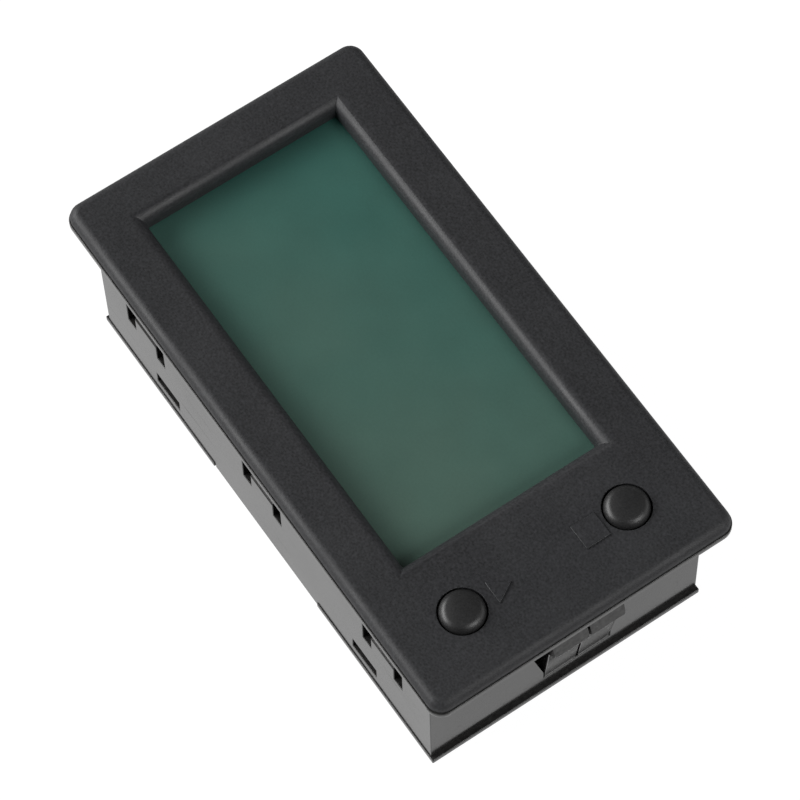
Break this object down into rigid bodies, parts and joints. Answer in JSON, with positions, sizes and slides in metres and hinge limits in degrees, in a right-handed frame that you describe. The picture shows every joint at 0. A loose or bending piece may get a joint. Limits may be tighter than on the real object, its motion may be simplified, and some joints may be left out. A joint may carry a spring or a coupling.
{
  "type": "panel-mount battery monitor display",
  "caption": "Snap-in panel display head for a battery monitor: wide flat display behind a rimmed bezel, round push buttons, sprung end latches and a rear cable socket.",
  "frame": {"origin": "centre of the back face, which the part rests on", "axes": "+X along the case towards the buttons, +Y to the top of the display, +Z out of the display face"},
  "size_m": [0.087, 0.0464, 0.0286],
  "materials": {
    "bezel_plastic": "fine matt grain",
    "housing_plastic": "smooth satin",
    "button_plastic": "smooth satin",
    "gasket_foam": "matt foam",
    "display_film": "matt anti-glare film",
    "display_glass": "clear",
    "cell_seal": "cured resin",
    "white_film": "white film",
    "clear_plastic": "clear moulded",
    "led_package": "cast resin",
    "circuit_board": "solder mask",
    "steel": "plated",
    "black_resin": "moulded resin",
    "capacitor_sleeve": "shrunk sleeve",
    "ceramic": "fired ceramic",
    "resistor_body": "fired film",
    "header_pins": "plated",
    "socket_plastic": "moulded"
  },
  "bodies": {
    "case": {"front_bezel": "bezel_plastic", "rear_housing": "housing_plastic", "rear_cover": "housing_plastic", "window_gasket": "gasket_foam", "lcd_front_polarizer": "display_film", "lcd_front_glass": "display_glass", "lcd_seal": "cell_seal", "lcd_rear_glass": "display_glass", "lcd_rear_polarizer": "display_film", "diffuser_sheet": "white_film", "light_guide": "clear_plastic", "reflector_sheet": "white_film", "backlight_leds": "led_package", "lcd_frame": "white_film", "zebra_strip": "gasket_foam", "main_board": "circuit_board", "main_board_screws": "steel", "switch_base_upper": "black_resin", "switch_cover_upper": "steel", "switch_dome_upper": "steel", "switch_base_lower": "black_resin", "switch_cover_lower": "steel", "switch_dome_lower": "steel", "microcontroller": "black_resin", "display_driver": "black_resin", "memory_chip": "black_resin", "voltage_regulator": "black_resin", "crystal": "steel", "electrolytic_capacitors": "capacitor_sleeve", "ceramic_capacitors": "ceramic", "chip_resistors": "resistor_body", "board_socket": "black_resin", "board_header": "header_pins", "connector_board": "circuit_board", "connector_board_screws": "steel", "input_fuse": "ceramic", "power_choke": "black_resin", "cable_socket": "socket_plastic", "cable_socket_pins": "header_pins"},
    "latch_arm_right_upper": {"latch_arm_right_upper": "housing_plastic"},
    "latch_arm_right_lower": {"latch_arm_right_lower": "housing_plastic"},
    "latch_arm_left_upper": {"latch_arm_left_upper": "housing_plastic"},
    "latch_arm_left_lower": {"latch_arm_left_lower": "housing_plastic"},
    "button_cap_upper": {"button_cap_upper": "button_plastic"},
    "button_cap_lower": {"button_cap_lower": "button_plastic"},
    "switch_plunger_upper": {"switch_plunger_upper": "black_resin"},
    "switch_plunger_lower": {"switch_plunger_lower": "black_resin"}
  },
  "joints": [
    {"name": "latch_flex_right_upper", "type": "hinge", "parent": "case", "child": "latch_arm_right_upper", "pos_m": [0.03815, 0.0019, 0.004], "axis": [0, -1, 0], "range_deg": [0, 10.5], "stiffness_Nm_per_rad": 0.05},
    {"name": "latch_flex_right_lower", "type": "hinge", "parent": "case", "child": "latch_arm_right_lower", "pos_m": [0.03815, 0.0019, 0.004], "axis": [0, -1, 0], "range_deg": [0, 10.5], "stiffness_Nm_per_rad": 0.05},
    {"name": "latch_flex_left_upper", "type": "hinge", "parent": "case", "child": "latch_arm_left_upper", "pos_m": [-0.03815, 0.0019, 0.004], "axis": [0, 1, 0], "range_deg": [0, 10.5], "stiffness_Nm_per_rad": 0.05},
    {"name": "latch_flex_left_lower", "type": "hinge", "parent": "case", "child": "latch_arm_left_lower", "pos_m": [-0.03815, 0.0019, 0.004], "axis": [0, 1, 0], "range_deg": [0, 10.5], "stiffness_Nm_per_rad": 0.05},
    {"name": "button_press_upper", "type": "slide", "parent": "case", "child": "button_cap_upper", "axis": [0, 0, -1], "range_m": [0, 0.0003], "stiffness_N_per_m": 1200},
    {"name": "plunger_press_upper", "type": "slide", "parent": "case", "child": "switch_plunger_upper", "axis": [0, 0, -1], "range_m": [0, 0.0003], "deforming": ["switch_dome_upper"]},
    {"name": "button_press_lower", "type": "slide", "parent": "case", "child": "button_cap_lower", "axis": [0, 0, -1], "range_m": [0, 0.0003], "stiffness_N_per_m": 1200},
    {"name": "plunger_press_lower", "type": "slide", "parent": "case", "child": "switch_plunger_lower", "axis": [0, 0, -1], "range_m": [0, 0.0003], "deforming": ["switch_dome_lower"]}
  ],
  "couplings": [
    {"joint": "plunger_press_upper", "follows": "button_press_upper", "ratio": 1},
    {"joint": "plunger_press_lower", "follows": "button_press_lower", "ratio": 1}
  ]
}
